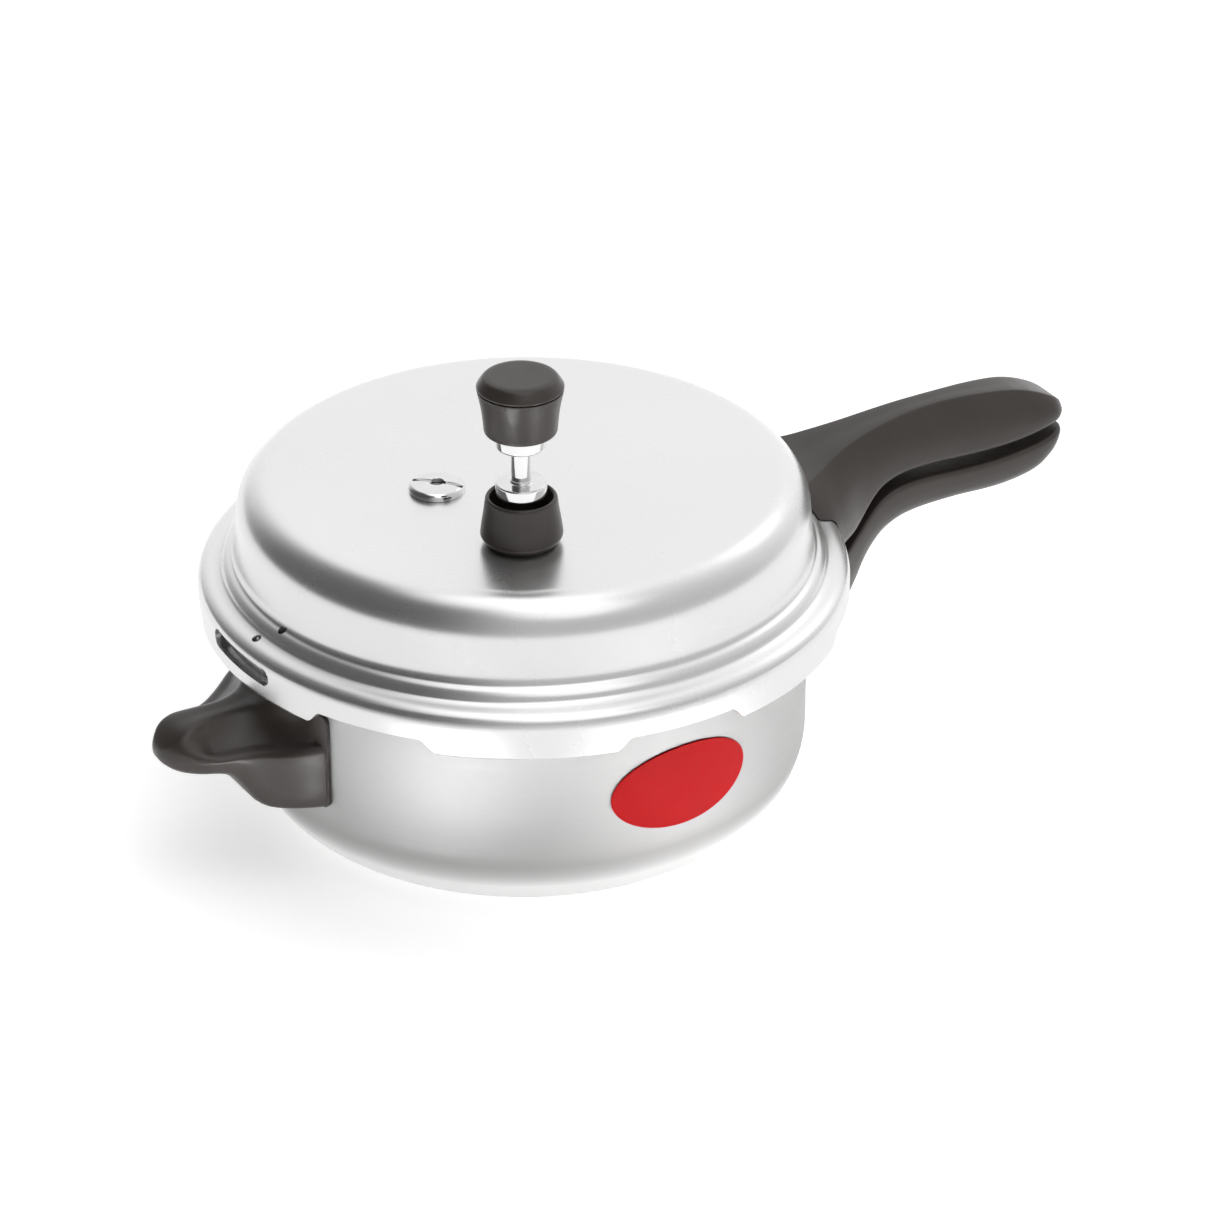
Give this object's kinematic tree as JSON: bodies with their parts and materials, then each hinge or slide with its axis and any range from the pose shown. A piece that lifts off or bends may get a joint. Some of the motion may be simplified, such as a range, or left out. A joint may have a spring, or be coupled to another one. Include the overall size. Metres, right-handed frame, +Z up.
{
  "type": "stovetop pressure cooker",
  "caption": "Shallow aluminium pressure pan with a turn-and-lift outer lid, a split long handle, a short helper handle, a safety valve and a lift-off pressure weight.",
  "frame": {"origin": "centre of the pan's base, on the surface it stands on", "axes": "+Z up; +X along the long handle; the helper handle points along -X"},
  "size_m": [0.4142, 0.259, 0.2128],
  "materials": {
    "pan_aluminium": "polished, slightly soft reflections",
    "lid_aluminium": "polished",
    "rivet_aluminium": "turned",
    "bakelite": "moulded phenolic, satin",
    "chrome": "bright plated brass",
    "steel": "pressed and zinc plated",
    "rubber": "moulded",
    "fusible_alloy": "cast soft alloy, dull",
    "label": "printed film, plain red oval"
  },
  "bodies": {
    "pan": {"pan_body": "pan_aluminium", "pan_label": "label", "lower_handle": "bakelite", "lower_handle_bracket": "steel", "lower_handle_rivet_left": "rivet_aluminium", "lower_handle_rivet_right": "rivet_aluminium", "lower_handle_screw": "steel", "helper_handle": "bakelite", "helper_bracket": "steel", "helper_rivet_left": "rivet_aluminium", "helper_rivet_right": "rivet_aluminium", "helper_screw": "steel"},
    "seal": {"sealing_ring": "rubber"},
    "lid": {"lid_shell": "lid_aluminium", "upper_handle": "bakelite", "upper_handle_bracket": "steel", "upper_handle_rivet_left": "rivet_aluminium", "upper_handle_rivet_right": "rivet_aluminium", "upper_handle_screw": "steel", "vent_tube": "chrome", "vent_washer": "steel", "vent_nut": "steel", "valve_body": "chrome", "valve_plug": "fusible_alloy", "valve_washer": "rubber", "valve_nut": "steel"},
    "weight": {"weight_body": "chrome", "weight_skirt": "bakelite", "weight_retainer": "steel", "weight_knob": "bakelite", "weight_screw": "steel", "weight_cap": "bakelite"}
  },
  "joints": [
    {"name": "lid_lift", "type": "slide", "parent": "pan", "child": "seal", "axis": [0, 0, 1], "range_m": [0, 0.12]},
    {"name": "lid_turn", "type": "hinge", "parent": "seal", "child": "lid", "pos_m": [0, 0, 0.1], "axis": [0, 0, 1], "range_deg": [0, 26.35]},
    {"name": "weight_lift", "type": "slide", "parent": "lid", "child": "weight", "axis": [0, 0, 1], "range_m": [0, 0.05]}
  ]
}
